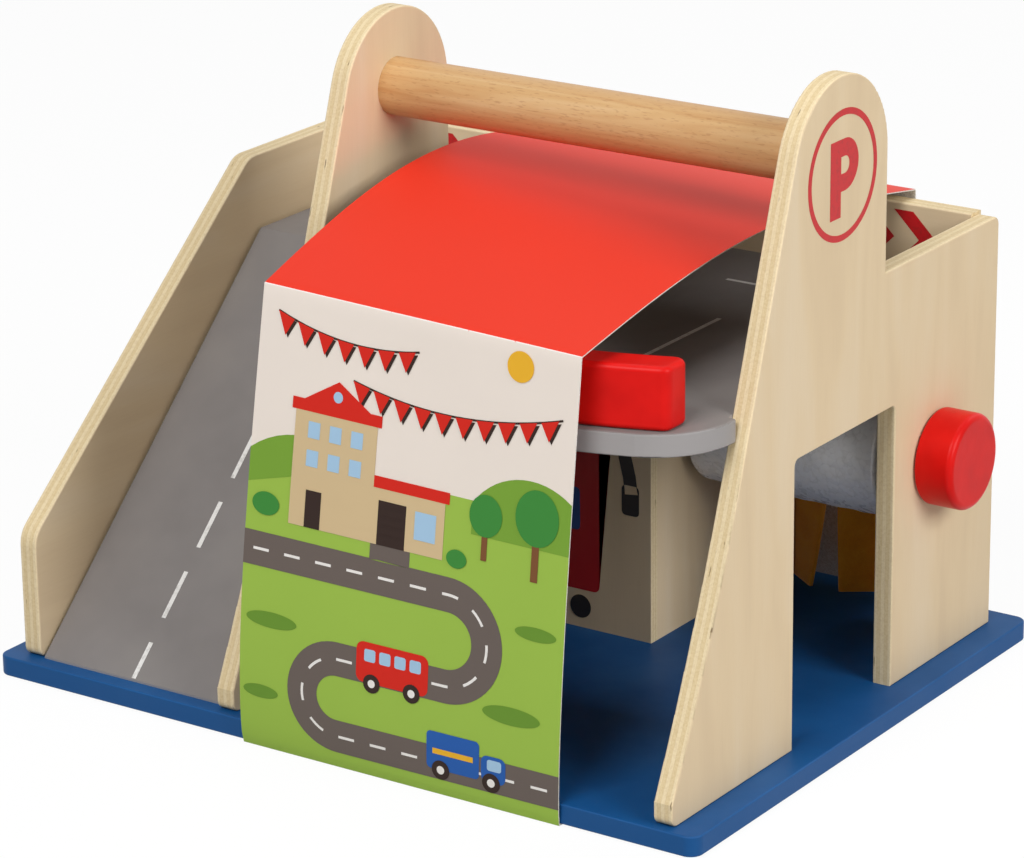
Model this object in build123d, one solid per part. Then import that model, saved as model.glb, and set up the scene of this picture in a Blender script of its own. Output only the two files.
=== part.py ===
from build123d import *
import os
from math import atan, cos, pi, sin, sqrt, tan

# Wooden toy parking garage: a blue base board, two plywood side panels that carry a round
# handle, a ramp up to a parking deck, a car wash with a turning foam roller and felt strips,
# and a printed card band that is wrapped once round the whole toy.
#
# Millimetres. X runs to the right along the front, Y to the back, Z up. The origin is in the
# middle of the base board, on the surface that the toy stands on.
# A "..._height" is measured from the top of the base board, a "..._setback" from the front of
# the base, a "..._rear_setback" from its back and an "..._inset" from its nearest end.

# ---- boards -------------------------------------------------------------------------------
base_width = 362.5
base_depth = 282.0
base_thickness = 9.0
base_corner_radius = 6.0
ply_thickness = 9.0
edge_round = 0.8            # sanded edges of the boards
slight_round = 0.4          # edges that are only broken with sandpaper
corner_round = 4.0          # sanded corners of the plywood outlines

# ---- places across the width --------------------------------------------------------------
right_panel_inset = 12.9
ramp_wall_inset = 10.4
ramp_width = 100.8          # between the ramp wall and the left panel
panels_rear_setback = 13.6

# ---- side panels, each with a tower -------------------------------------------------------
panel_height = 281.5
toe_setback = 3.4
toe_height = 10.0
front_lean = 0.335          # set-back for each millimetre of height on the straight upper part
front_bend_height = 141.0   # below this the front edge sweeps forward to the toe
front_bend_setback = 57.5
tower_rear_setback = 112.6
shoulder_height = 189.0     # rear half of the right panel
door_setback = 96.9
door_width = 82.6
door_height = 127.9
door_corner_radius = 3.0

# ---- handle -------------------------------------------------------------------------------
handle_diameter = 25.3
handle_drop = 34.1          # below the top of the towers
handle_tower_setback = 39.5 # in front of the towers' rear edges
handle_socket_depth = 5.0

# ---- back wall and ramp wall --------------------------------------------------------------
back_wall_height = 190.3
nose_setback = 7.1
nose_height = 57.0
ramp_wall_kink_setback = 167.4
ramp_wall_corner_radius = 12.0

# ---- deck, landing and ramp ---------------------------------------------------------------
deck_height = 156.0         # upper face of the deck and of the landing
deck_thickness = 10.0
bow_radius = 265.0          # bowed front edge of the deck
bow_setback = 8.4
deck_corner_radius = 36.0
deck_side_reach = 3.7       # in front of the towers the deck reaches past their inner faces
deck_tower_gap = 0.3
landing_setback = 172.4
landing_side_gap = 1.5
ramp_thickness = 6.0
ramp_toe_setback = 7.9
ramp_toe_lip = 1.0

# ---- sign ---------------------------------------------------------------------------------
sign_edge_gap = 3.3         # behind the bowed edge of the deck
sign_depth = 17.0
sign_height = 27.0
sign_end_gap = 9.6          # from its ends to the inner faces of the towers
sign_corner_radius = 5.0
sign_edge_round = 2.5

# ---- service kiosk ------------------------------------------------------------------------
kiosk_setback = 165.9
kiosk_front_thickness = 5.0
wash_bay_width = 104.2      # from the kiosk's side wall to the right panel

# ---- car wash -----------------------------------------------------------------------------
roller_height = 94.7
roller_rear_setback = 65.6
roller_diameter = 62.0
roller_end_gap = 5.0        # to the kiosk on one side and to the right panel on the other
roller_edge_round = 1.5
shaft_diameter = 10.0
shaft_running_gap = 0.06    # radial room of the turning shaft in its two bearing holes
shaft_socket_depth = 7.0
knob_diameter = 42.5
knob_length = 18.0
knob_rim_round = 3.0
knob_back_round = 1.5
knob_face_gap = 0.5
knob_socket_depth = 13.0

exit_height = 103.5
exit_side_gap = 1.5
rail_thickness = 4.0
rail_width = 12.0
felt_thickness = 2.0
strip_count = 5
strip_slit = 1.2            # between two strips
strip_end_gap = 2.2         # from the outer strips to the kiosk and to the right panel
strip_hang_gap = 0.3        # between the felt band and the rounded top of a strip
strip_foot_height = 8.5

# ---- hidden dowels ------------------------------------------------------------------------
dowel_diameter = 5.0
dowel_side_depth = 5.0      # into the face of a board
dowel_end_depth = 11.0      # into the end grain of a board
dowel_end_room = 0.5        # a blind hole is this much deeper than its dowel
dowel_end_inset = 18.0      # from the end of a joint to its first dowel
glue_gap = 0.05             # radial room round every glued dowel
cut_past = 1.0              # a cutter reaches this far past the face that it opens

# ---- card band ----------------------------------------------------------------------------
card_thickness = 0.5
band_width = 160.6
band_inset = 137.6          # its left edge, at the foot of the front panel
band_fold_shift = 6.3       # the fold lies this far to the right of the foot
band_back_shift = 9.3       # and the back panel this far
band_foot_gap = 1.1         # in front of the base
band_back_gap = 1.1         # behind the base
band_wall_gap = 1.0         # behind the back wall
fold_left_bow_setback = 6.6 # behind the frontmost point of the deck's bow
fold_right_bow_setback = 0.0
fold_left_sign_gap = 8.5    # above the sign
fold_right_sign_gap = 6.0
belly_left = 6.3            # the front panel swells forward between its foot and the fold
belly_right = 3.0
belly_skew = 0.65           # below 1 the swelling lies lower than half way
roof_wall_gap = 3.7         # above the back wall
crown_left_handle_gap = 15.0    # from the top of the roof's arch to the handle
crown_right_handle_gap = 27.75
fold_gap = 0.4              # between two panels of the band, along a crease

# ---- derived places -----------------------------------------------------------------------
base_bottom = card_thickness
base_top = base_bottom + base_thickness
base_front = -base_depth / 2
base_back = base_depth / 2
base_right = base_width / 2
base_left = -base_width / 2

right_outer = base_right - right_panel_inset
right_inner = right_outer - ply_thickness
ramp_wall_outer = base_left + ramp_wall_inset
ramp_wall_inner = ramp_wall_outer + ply_thickness
left_outer = ramp_wall_inner + ramp_width
left_inner = left_outer + ply_thickness
bay_middle = (left_inner + right_inner) / 2

panel_rear = base_back - panels_rear_setback
wall_front = panel_rear - ply_thickness
wall_top = base_top + back_wall_height
tower_rear = base_back - tower_rear_setback
toe_front = base_front + toe_setback
door_front = base_front + door_setback
door_rear = door_front + door_width

deck_top = base_top + deck_height
deck_bottom = deck_top - deck_thickness
landing_front = base_front + landing_setback
landing_left = ramp_wall_inner + landing_side_gap
bow_front = base_front + bow_setback
bow_centre_y = bow_front + bow_radius
sign_top = deck_top + sign_height

kiosk_front_y = base_front + kiosk_setback
kiosk_outer = right_inner - wash_bay_width
kiosk_inner = kiosk_outer - ply_thickness
exit_left = kiosk_outer + exit_side_gap
exit_right = right_inner - exit_side_gap

roller_y = base_back - roller_rear_setback
roller_z = base_top + roller_height
shaft_radius = shaft_diameter / 2
bearing_radius = shaft_radius + shaft_running_gap
knob_back = right_outer + knob_face_gap

handle_y = tower_rear - handle_tower_setback
handle_z = base_top + panel_height - handle_drop
handle_radius = handle_diameter / 2

rail_front = wall_front - rail_thickness
rail_bottom = base_top + exit_height
strip_front = rail_front - felt_thickness
strip_axis_y = rail_front - felt_thickness / 2
strip_axis_z = rail_bottom - strip_hang_gap - felt_thickness / 2
strips_left = kiosk_outer + strip_end_gap
strips_right = right_inner - strip_end_gap
strip_pitch = (strips_right - strips_left + strip_slit) / strip_count
strip_width = strip_pitch - strip_slit

dowel_radius = dowel_diameter / 2
dowel_hole_radius = dowel_radius + glue_gap

band_left = base_left + band_inset
band_foot_y = base_front - band_foot_gap
band_back_y = base_back + band_back_gap
roof_back_y = panel_rear + band_wall_gap + card_thickness
roof_back_z = wall_top + roof_wall_gap


# ---- small helpers ------------------------------------------------------------------------
def box_between(low, high):
    """A block from its lowest corner to its highest one."""
    size = [b - a for a, b in zip(low, high)]
    return Pos(*low) * Box(*size, align=(Align.MIN, Align.MIN, Align.MIN))


def rod_along(axis, start, length, radius):
    """A round bar from start towards +X, +Y or +Z."""
    turn = {"x": (0, 90, 0), "y": (-90, 0, 0), "z": (0, 0, 0)}[axis]
    bar = Cylinder(radius, length, align=(Align.CENTER, Align.CENTER, Align.MIN))
    return Pos(*start) * (Rot(*turn) * bar)


def round_corners(face, corners):
    """Round an outline: each entry holds a corner's place and its radius."""
    for (u, v), radius in corners:
        near = face.vertices().sort_by_distance(Vector(u, v, 0))[0]
        face = fillet(near, radius)
    return face


def standing_board(outline, left_face, thickness):
    """Make an upright board from an outline in depth and height, and sand its edges."""
    board = extrude(Plane.YZ.offset(left_face) * outline, thickness)
    faces = board.faces().filter_by(Axis.X).sort_by(Axis.X)
    rims = faces[0].edges() + faces[-1].edges()
    return fillet(rims, edge_round)


def spread(start, end, count):
    """Even places between the two ends of a joint, dowel_end_inset in from each end."""
    first = start + dowel_end_inset
    step = (end - dowel_end_inset - first) / (count - 1)
    return [first + step * i for i in range(count)]


# ---- hidden dowels ------------------------------------------------------------------------
def base_dowel_places():
    """Where dowels stand up out of the base board into the upright boards."""
    places = []
    right_middle = right_inner + ply_thickness / 2
    left_middle = left_outer + ply_thickness / 2
    ramp_wall_middle = ramp_wall_outer + ply_thickness / 2
    kiosk_middle = kiosk_inner + ply_thickness / 2
    for y in spread(toe_front, door_front, 2) + spread(door_rear, panel_rear, 2):
        places.append((right_middle, y))
    for y in spread(toe_front, wall_front, 4):
        places.append((left_middle, y))
    for y in spread(base_front + nose_setback, panel_rear, 4):
        places.append((ramp_wall_middle, y))
    for y in spread(kiosk_front_y, wall_front, 2):
        places.append((kiosk_middle, y))
    for x in spread(ramp_wall_inner, exit_left, 4):
        places.append((x, wall_front + ply_thickness / 2))
    return places


def deck_dowel_places():
    """Axis and start of each level dowel between the deck and the boards round it."""
    middle = deck_top - deck_thickness / 2
    deck_edge = front_edge_y(deck_bottom) - deck_tower_gap
    places = []
    for y in spread(deck_edge, wall_front, 3):
        places.append(("x", (right_inner - dowel_end_depth, y, middle)))
    for y in spread(deck_edge, tower_rear, 2):
        places.append(("x", (left_inner - dowel_side_depth, y, middle)))
    for y in spread(landing_front, wall_front, 2):
        places.append(("x", (ramp_wall_inner - dowel_side_depth, y, middle)))
    for x in spread(landing_left, right_inner, 4):
        places.append(("y", (x, wall_front - dowel_end_depth, middle)))
    return places


def sign_dowel_places():
    """Plan places of the dowels under the sign, on the middle line of its bow."""
    middle_radius = bow_radius - sign_edge_gap - sign_depth / 2
    half_spread = (right_inner - left_inner) / 4
    depth = bow_centre_y - sqrt(middle_radius ** 2 - half_spread ** 2)
    return [(bay_middle - half_spread, depth), (bay_middle + half_spread, depth)]


def upright_dowels(places, joint_z, below, above, radius, room):
    """Dowels or their holes that cross the level joint_z."""
    start = joint_z - below - room
    length = below + above + 2 * room
    return [rod_along("z", (x, y, start), length, radius) for x, y in places]


def level_dowels(places, radius, room):
    """Dowels or their holes between the deck and the boards round it."""
    length = dowel_side_depth + dowel_end_depth + 2 * room
    rods = []
    for axis, (x, y, z) in places:
        start = (x - room, y, z) if axis == "x" else (x, y - room, z)
        rods.append(rod_along(axis, start, length, radius))
    return rods


def base_dowels(radius, room):
    return upright_dowels(
        base_dowel_places(), base_top, dowel_side_depth, dowel_end_depth, radius, room
    )


def sign_dowels(radius, room):
    return upright_dowels(
        sign_dowel_places(), deck_top, dowel_side_depth, dowel_end_depth, radius, room
    )


def base_dowel_holes():
    return base_dowels(dowel_hole_radius, dowel_end_room)


def deck_dowel_holes():
    return level_dowels(deck_dowel_places(), dowel_hole_radius, dowel_end_room)


def sign_dowel_holes():
    return sign_dowels(dowel_hole_radius, dowel_end_room)


# ---- base and panels ----------------------------------------------------------------------
def make_base_board():
    board = box_between((base_left, base_front, base_bottom), (base_right, base_back, base_top))
    board = fillet(board.edges().filter_by(Axis.Z), base_corner_radius)
    rims = board.faces().filter_by(Axis.Z).edges()
    return fillet(rims, edge_round) - base_dowel_holes()


def front_edge_y(z):
    """Depth of a tower's straight front edge at the level z."""
    return base_front + front_bend_setback + front_lean * (z - base_top - front_bend_height)


def tower_outline(rear_points):
    """Toe, swept lower part, straight upper part and round cap, closed by the rear points."""
    top = base_top + panel_height
    lean = atan(front_lean)
    cap_width = tower_rear - front_edge_y(top)
    cap_radius = cap_width / (tan((pi / 2 - lean) / 2) + 1)
    cap_y = tower_rear - cap_radius
    cap_z = top - cap_radius
    cap_start = (cap_y - cap_radius * cos(lean), cap_z + cap_radius * sin(lean))
    cap_end = (tower_rear, cap_z)
    bend = (base_front + front_bend_setback, base_top + front_bend_height)
    toe_top = (toe_front, base_top + toe_height)
    toe_foot = (toe_front, base_top)
    edges = [
        Line(toe_foot, toe_top),
        TangentArc(bend, toe_top, tangent=(-sin(lean), -cos(lean))),
        Line(bend, cap_start),
        ThreePointArc(cap_start, (cap_y, top), cap_end),
        Polyline(cap_end, *rear_points, toe_foot),
    ]
    return make_face(Curve() + edges)


def doorway_outline():
    corner = Pos(door_front, base_top - door_corner_radius)
    size = (door_width, door_height + door_corner_radius)
    door = corner * Rectangle(*size, align=(Align.MIN, Align.MIN))
    top = base_top + door_height
    return round_corners(door, [
        ((door_front, top), door_corner_radius),
        ((door_rear, top), door_corner_radius),
    ])


def make_right_panel():
    shoulder = base_top + shoulder_height
    outline = tower_outline([(tower_rear, shoulder), (panel_rear, shoulder), (panel_rear, base_top)])
    outline = round_corners(outline, [
        ((toe_front, base_top), corner_round),
        ((panel_rear, shoulder), corner_round),
    ])
    panel = standing_board(outline - doorway_outline(), right_inner, ply_thickness)
    socket_end = right_inner + handle_socket_depth
    panel -= handle_bar(right_inner - glue_gap, socket_end, handle_radius + glue_gap)
    panel -= roller_rod(right_inner - cut_past, right_outer + cut_past, bearing_radius)
    return panel - base_dowel_holes() - deck_dowel_holes()


def make_left_panel():
    outline = tower_outline([
        (tower_rear, deck_bottom),
        (wall_front, deck_bottom),
        (wall_front, base_top),
    ])
    outline = round_corners(outline, [((toe_front, base_top), corner_round)])
    panel = standing_board(outline, left_outer, ply_thickness)
    socket_start = left_inner - handle_socket_depth
    panel -= handle_bar(socket_start, left_inner + glue_gap, handle_radius + glue_gap)
    return panel - base_dowel_holes() - deck_dowel_holes()


def handle_bar(start_x, end_x, radius):
    return rod_along("x", (start_x, handle_y, handle_z), end_x - start_x, radius)


def make_carry_handle():
    start_x = left_inner - handle_socket_depth + glue_gap
    end_x = right_inner + handle_socket_depth - glue_gap
    return handle_bar(start_x, end_x, handle_radius)


def make_ramp_wall():
    nose = base_front + nose_setback
    kink = base_front + ramp_wall_kink_setback
    nose_top = base_top + nose_height
    outline = make_face(Polyline(
        (nose, base_top),
        (nose, nose_top),
        (kink, wall_top),
        (panel_rear, wall_top),
        (panel_rear, base_top),
        close=True,
    ))
    outline = round_corners(outline, [
        ((nose, base_top), corner_round),
        ((nose, nose_top), ramp_wall_corner_radius),
        ((kink, wall_top), ramp_wall_corner_radius),
        ((panel_rear, wall_top), corner_round),
    ])
    wall = standing_board(outline, ramp_wall_outer, ply_thickness)
    return wall - base_dowel_holes() - deck_dowel_holes()


def make_back_wall():
    wall = box_between((ramp_wall_inner, wall_front, base_top), (right_inner, panel_rear, wall_top))
    wall = fillet(wall.faces().sort_by(Axis.Z)[-1].edges().filter_by(Axis.X), edge_round)
    exit_low = (exit_left, wall_front - cut_past, base_top - cut_past)
    wall -= box_between(exit_low, (exit_right, panel_rear + cut_past, rail_bottom))
    return wall - base_dowel_holes() - deck_dowel_holes()


# ---- deck, landing, ramp and sign ---------------------------------------------------------
def bow_point(radius, reach):
    """Depth of a bow round the deck's centre at a distance from the middle of the bay."""
    return bow_centre_y - sqrt(radius ** 2 - reach ** 2)


def widest_deck_corner(reach, side_end_y):
    """The radius of a corner that leaves the bow smoothly and meets the deck's side at its very end."""
    drop = bow_centre_y - side_end_y
    return (bow_radius ** 2 - reach ** 2 - drop ** 2) / (2 * (bow_radius - reach))


def deck_bow():
    """The bowed front of the deck with its two round corners, from left to right."""
    reach = (right_inner - left_inner) / 2 + deck_side_reach
    side_y = front_edge_y(deck_bottom) - deck_tower_gap
    radius = min(deck_corner_radius, widest_deck_corner(reach, side_y - edge_round))
    corner_x = reach - radius
    corner_y = bow_point(bow_radius - radius, corner_x)
    share = bow_radius / (bow_radius - radius)
    bow_end = (corner_x * share, bow_centre_y + (corner_y - bow_centre_y) * share)
    half = [(reach, side_y), (reach, corner_y), bow_end]
    left = [(bay_middle - x, y) for x, y in half]
    right = [(bay_middle + x, y) for x, y in half]
    straight_ahead = (0, -1)
    return left[0], right[0], [
        Line(left[0], left[1]),
        TangentArc(left[1], left[2], tangent=straight_ahead),
        ThreePointArc(left[2], (bay_middle, bow_front), right[2]),
        TangentArc(right[1], right[2], tangent=straight_ahead),
        Line(right[1], right[0]),
    ]


def on_lobe(edge, side_y):
    """Whether an edge of the deck lies on its free front, between the two side notches."""
    return edge.center().Y < side_y and edge.bounding_box().max.Y < side_y + slight_round


def make_deck_board():
    """One board: the deck between the panels and the landing at the head of the ramp."""
    lobe_left, lobe_right, bow = deck_bow()
    rear = Polyline(
        lobe_right,
        (right_inner, lobe_right[1]),
        (right_inner, wall_front),
        (landing_left, wall_front),
        (landing_left, landing_front),
        (left_outer, landing_front),
        (left_outer, tower_rear),
        (left_inner, tower_rear),
        (left_inner, lobe_left[1]),
        lobe_left,
    )
    outline = make_face(Curve() + bow + [rear])
    board = extrude(Pos(0, 0, deck_bottom) * outline, deck_thickness)
    rims = board.faces().filter_by(Axis.Z).edges().filter_by(lambda edge: on_lobe(edge, lobe_left[1]))
    board = fillet(rims, edge_round)
    return board - deck_dowel_holes() - sign_dowel_holes()


def make_ramp_board():
    """A sloping board, feathered to a low lip on the base and butted against the landing."""
    toe = base_front + ramp_toe_setback
    lip = base_top + ramp_toe_lip
    run = landing_front - toe
    rise = deck_top - lip
    drop = ramp_thickness * sqrt(run ** 2 + rise ** 2) / run
    under_toe = toe + (drop - ramp_toe_lip) * run / rise
    outline = make_face(Polyline(
        (toe, base_top),
        (toe, lip),
        (landing_front, deck_top),
        (landing_front, deck_top - drop),
        (under_toe, base_top),
        close=True,
    ))
    width = left_outer - landing_left
    return extrude(Plane.YZ.offset(landing_left) * outline, width)


def make_sign_block():
    """A thick bowed block that follows the front edge of the deck."""
    reach = (right_inner - left_inner) / 2 - sign_end_gap
    outer = bow_radius - sign_edge_gap
    inner = outer - sign_depth
    front_end = bow_point(outer, reach)
    rear_end = bow_point(inner, reach)
    left_x = bay_middle - reach
    right_x = bay_middle + reach
    outline = make_face(Curve() + [
        ThreePointArc((left_x, front_end), (bay_middle, bow_centre_y - outer), (right_x, front_end)),
        Line((right_x, front_end), (right_x, rear_end)),
        ThreePointArc((right_x, rear_end), (bay_middle, bow_centre_y - inner), (left_x, rear_end)),
        Line((left_x, rear_end), (left_x, front_end)),
    ])
    block = extrude(Pos(0, 0, deck_top) * outline, sign_height)
    block = fillet(block.edges().filter_by(Axis.Z), sign_corner_radius)
    block = fillet(block.faces().filter_by(Axis.Z).edges(), sign_edge_round)
    return block - sign_dowel_holes()


# ---- kiosk --------------------------------------------------------------------------------
def make_kiosk_front():
    """The printed board; it covers the end of the side wall, so its free edge is the right one."""
    board = box_between(
        (left_inner, kiosk_front_y, base_top),
        (kiosk_outer, kiosk_front_y + kiosk_front_thickness, deck_bottom),
    )
    corner = board.edges().filter_by(Axis.Z).sort_by_distance((kiosk_outer, kiosk_front_y, deck_bottom))[0]
    return fillet(corner, slight_round)


def make_kiosk_side():
    wall = box_between(
        (kiosk_inner, kiosk_front_y + kiosk_front_thickness, base_top),
        (kiosk_outer, wall_front, deck_bottom),
    )
    wall -= roller_rod(kiosk_outer - shaft_socket_depth, kiosk_outer + cut_past, bearing_radius)
    return wall - base_dowel_holes()


# ---- car wash -----------------------------------------------------------------------------
def roller_rod(start_x, end_x, radius):
    return rod_along("x", (start_x, roller_y, roller_z), end_x - start_x, radius)


def make_roller_shaft():
    start_x = kiosk_outer - shaft_socket_depth + knob_face_gap
    end_x = knob_back + knob_socket_depth - knob_face_gap
    return roller_rod(start_x, end_x, shaft_radius)


def make_foam_roller():
    start_x = kiosk_outer + roller_end_gap
    end_x = right_inner - roller_end_gap
    foam = roller_rod(start_x, end_x, roller_diameter / 2)
    foam = fillet(foam.edges(), roller_edge_round)
    return foam - roller_rod(start_x - cut_past, end_x + cut_past, shaft_radius + glue_gap)


def make_wash_knob():
    end_x = knob_back + knob_length
    knob = roller_rod(knob_back, end_x, knob_diameter / 2)
    rims = knob.edges().filter_by(GeomType.CIRCLE).sort_by(Axis.X)
    knob = fillet(rims[-1], knob_rim_round)
    rims = knob.edges().filter_by(GeomType.CIRCLE).sort_by(Axis.X)
    knob = fillet(rims[0], knob_back_round)
    return knob - roller_rod(knob_back - cut_past, knob_back + knob_socket_depth, shaft_radius + glue_gap)


def make_curtain_rail():
    """A thin lath over the way out of the car wash, glued to the back wall."""
    return box_between(
        (kiosk_outer, rail_front, rail_bottom),
        (right_inner, wall_front, rail_bottom + rail_width),
    )


def make_felt_band():
    """The uncut top of the felt curtain, glued to the rail."""
    return box_between(
        (strips_left, strip_front, rail_bottom),
        (strips_right, rail_front, rail_bottom + rail_width),
    )


def make_felt_strip(index):
    """One hanging strip, rounded along the top where it bends."""
    left_x = strips_left + index * strip_pitch
    strip = box_between(
        (left_x, strip_front, base_top + strip_foot_height),
        (left_x + strip_width, rail_front, strip_axis_z),
    )
    top = rod_along("x", (left_x, strip_axis_y, strip_axis_z), strip_width, felt_thickness / 2)
    return strip + top


# ---- card band ----------------------------------------------------------------------------
def between(a, b, share):
    return tuple(p + (q - p) * share for p, q in zip(a, b))


def swelling_edge(start, end, swell, direction, stations, skew=1.0):
    """A curve from start to end that swells like half a sine wave."""
    points = []
    for i in range(stations + 1):
        share = i / stations
        p = between(start, end, share)
        lift = swell * sin(pi * share ** skew)
        points.append(tuple(a + lift * d for a, d in zip(p, direction)))
    return Spline(*points)


def card_sheet(left_edge, right_edge, inward):
    """Card stretched between two edges; the edges lie on its printed face."""
    face = Face.make_surface_from_curves(left_edge.edge(), right_edge.edge())
    depth = card_thickness if face.normal_at().dot(Vector(*inward)) > 0 else -card_thickness
    return Solid.thicken(face, depth)


def band_corners():
    """Left and right ends of the band's creases, on the printed side."""
    right = band_left + band_width
    foot_z = card_thickness + fold_gap
    return {
        "foot": [(band_left, band_foot_y, foot_z), (right, band_foot_y, foot_z)],
        "fold": [
            (band_left + band_fold_shift, bow_front + fold_left_bow_setback, sign_top + fold_left_sign_gap),
            (right + band_fold_shift, bow_front + fold_right_bow_setback, sign_top + fold_right_sign_gap),
        ],
        "back": [
            (band_left + band_back_shift, roof_back_y, roof_back_z),
            (right + band_back_shift, roof_back_y, roof_back_z),
        ],
        "heel": [
            (band_left + band_back_shift, band_back_y, foot_z),
            (right + band_back_shift, band_back_y, foot_z),
        ],
    }


def lowered(points, drop):
    return [(x, y, z - drop) for x, y, z in points]


def moved_back(points, shift):
    return [(x, y + shift, z) for x, y, z in points]


def make_sleeve_front():
    corners = band_corners()
    fold = lowered(corners["fold"], fold_gap)
    edges = [
        swelling_edge(foot, top, belly, (0, -1, 0), 6, belly_skew)
        for foot, top, belly in zip(corners["foot"], fold, (belly_left, belly_right))
    ]
    return card_sheet(*edges, inward=(0, 1, 0))


def make_sleeve_roof():
    corners = band_corners()
    starts = moved_back(corners["fold"], fold_gap)
    handle_underside = handle_z - handle_radius
    edges = []
    for start, end, gap in zip(starts, corners["back"], (crown_left_handle_gap, crown_right_handle_gap)):
        crown = handle_underside - gap - (start[2] + end[2]) / 2
        edges.append(swelling_edge(start, end, crown, (0, 0, 1), 6))
    return card_sheet(*edges, inward=(0, 0, -1))


def make_sleeve_back():
    corners = band_corners()
    tops = lowered(corners["back"], card_thickness + fold_gap)
    edges = [Line(top, heel) for top, heel in zip(tops, corners["heel"])]
    return card_sheet(*edges, inward=(0, -1, 0))


def make_sleeve_underside():
    right = band_left + band_width
    outline = make_face(Polyline(
        (band_left, band_foot_y),
        (right, band_foot_y),
        (right + band_back_shift, band_back_y),
        (band_left + band_back_shift, band_back_y),
        close=True,
    ))
    return extrude(outline, card_thickness)


# ---- the whole toy ------------------------------------------------------------------------
def save(node, shape):
    export_step(shape, "parts/" + node + ".step")


def main():
    os.makedirs("parts", exist_ok=True)
    save("base_board", make_base_board())
    save("right_panel", make_right_panel())
    save("left_panel", make_left_panel())
    save("carry_handle", make_carry_handle())
    save("ramp_wall", make_ramp_wall())
    save("back_wall", make_back_wall())
    save("deck_board", make_deck_board())
    save("ramp_board", make_ramp_board())
    save("sign_block", make_sign_block())
    save("kiosk_front", make_kiosk_front())
    save("kiosk_side", make_kiosk_side())
    save("roller_shaft", make_roller_shaft())
    save("foam_roller", make_foam_roller())
    save("wash_knob", make_wash_knob())
    save("curtain_rail", make_curtain_rail())
    save("felt_band", make_felt_band())
    for index in range(strip_count):
        save("felt_strip_" + str(index + 1), make_felt_strip(index))
    save("base_dowels", Compound(base_dowels(dowel_radius, 0)))
    save("deck_dowels", Compound(level_dowels(deck_dowel_places(), dowel_radius, 0)))
    save("sign_dowels", Compound(sign_dowels(dowel_radius, 0)))
    save("sleeve_front", make_sleeve_front())
    save("sleeve_roof", make_sleeve_roof())
    save("sleeve_back", make_sleeve_back())
    save("sleeve_underside", make_sleeve_underside())


main()
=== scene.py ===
"""Looks of a wooden toy parking garage with a ramp, a deck, a car wash and a printed card band."""

import math

import bmesh
import bpy
from mathutils import Euler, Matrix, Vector


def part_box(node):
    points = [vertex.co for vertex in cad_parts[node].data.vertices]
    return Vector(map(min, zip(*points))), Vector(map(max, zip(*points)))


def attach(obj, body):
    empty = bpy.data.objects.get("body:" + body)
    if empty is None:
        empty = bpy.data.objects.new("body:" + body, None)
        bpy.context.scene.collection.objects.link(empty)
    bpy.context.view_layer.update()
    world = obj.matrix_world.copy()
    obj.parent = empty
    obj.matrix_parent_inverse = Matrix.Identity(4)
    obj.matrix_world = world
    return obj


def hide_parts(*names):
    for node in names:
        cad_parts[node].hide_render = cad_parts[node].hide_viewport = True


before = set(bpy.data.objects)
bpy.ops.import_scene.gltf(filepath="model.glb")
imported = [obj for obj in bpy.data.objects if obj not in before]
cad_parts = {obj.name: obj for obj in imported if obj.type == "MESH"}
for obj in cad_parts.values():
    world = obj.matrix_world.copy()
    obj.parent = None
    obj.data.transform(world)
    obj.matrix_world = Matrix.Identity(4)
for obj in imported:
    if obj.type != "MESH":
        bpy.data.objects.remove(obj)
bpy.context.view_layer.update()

MM = 0.001


def between(a, b, share):
    return a + (b - a) * share


# ---- node places from the frame, in metres
base_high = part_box("base_board")[1]
right_low, right_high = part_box("right_panel")
left_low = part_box("left_panel")[0]
ramp_wall_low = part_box("ramp_wall")[0]
back_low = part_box("back_wall")[0]
deck_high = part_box("deck_board")[1]
ramp_low, ramp_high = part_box("ramp_board")
kiosk_low, kiosk_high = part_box("kiosk_front")
kiosk_side_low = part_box("kiosk_side")[0]
rail_low, rail_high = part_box("curtain_rail")
foam_low, foam_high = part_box("foam_roller")
handle_low, handle_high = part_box("carry_handle")
card_front_low, card_front_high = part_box("sleeve_front")
card_roof_low, card_roof_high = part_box("sleeve_roof")
card_back_low, card_back_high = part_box("sleeve_back")
card_under_low, card_under_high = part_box("sleeve_underside")


# ---- tools
def deselect_all():
    if bpy.context.object and bpy.context.object.mode != "OBJECT":
        bpy.ops.object.mode_set(mode="OBJECT")
    bpy.ops.object.select_all(action="DESELECT")


def choose(obj):
    """Make obj the only selected object and the active one."""
    deselect_all()
    obj.select_set(True)
    bpy.context.view_layer.objects.active = obj


def apply_modifiers(obj):
    choose(obj)
    for modifier in list(obj.modifiers):
        bpy.ops.object.modifier_apply(modifier=modifier.name)


def apply_place(obj):
    choose(obj)
    bpy.ops.object.transform_apply(location=True, rotation=True, scale=True)


def edit(obj, kind="VERT"):
    """Go into edit mode with nothing selected, and hand back the mesh."""
    choose(obj)
    bpy.ops.object.mode_set(mode="EDIT")
    bpy.ops.mesh.select_mode(type=kind)
    bpy.ops.mesh.select_all(action="DESELECT")
    return bmesh.from_edit_mesh(obj.data)


def select_all():
    bpy.ops.mesh.select_all(action="SELECT")


def leave_edit(obj):
    bpy.ops.object.mode_set(mode="OBJECT")
    obj.data.update()


def select_where(mesh, elements, test):
    """Select the elements of an edit mesh that pass a test."""
    for element in elements:
        element.select_set(test(element))
    mesh.select_flush_mode()


def smooth(obj, degrees):
    choose(obj)
    bpy.ops.object.shade_smooth_by_angle(angle=math.radians(degrees))


def paint(obj, *materials):
    """Give a piece its materials, the first one for every face that has no other."""
    obj.data.materials.clear()
    for material in materials:
        obj.data.materials.append(material)


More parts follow.
